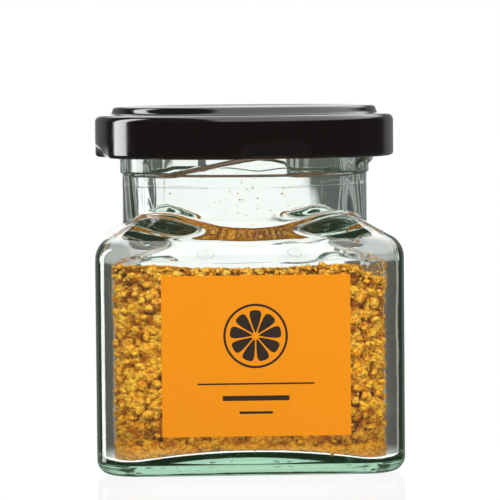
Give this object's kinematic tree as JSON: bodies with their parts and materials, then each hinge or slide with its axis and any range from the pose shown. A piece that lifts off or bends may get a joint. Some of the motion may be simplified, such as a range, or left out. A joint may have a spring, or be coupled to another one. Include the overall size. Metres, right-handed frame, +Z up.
{
  "type": "jar of dried orange peel",
  "caption": "Square clear-glass spice jar with a round neck and a black twist-off lid, filled with dried orange peel granules, with a plain orange label on its front.",
  "frame": {"origin": "middle of the jar's underside, on the surface it stands on", "axes": "+Z up through the lid, -Y out of the labelled front face, +X to the right as seen from the front"},
  "size_m": [0.0562, 0.0564, 0.0666],
  "materials": {
    "clear_glass": "clear flint glass with a faint green tint where it is thick",
    "black_enamel": "gloss black enamel on tinplate",
    "orange_paper": "smooth matt coated paper",
    "dried_peel": "dry rough granules, golden orange to pale yellow, darker in the gaps"
  },
  "bodies": {
    "root": {"glass_jar": "clear_glass", "lid": "black_enamel", "front_label": "orange_paper", "peel_granules": "dried_peel"}
  },
  "joints": []
}
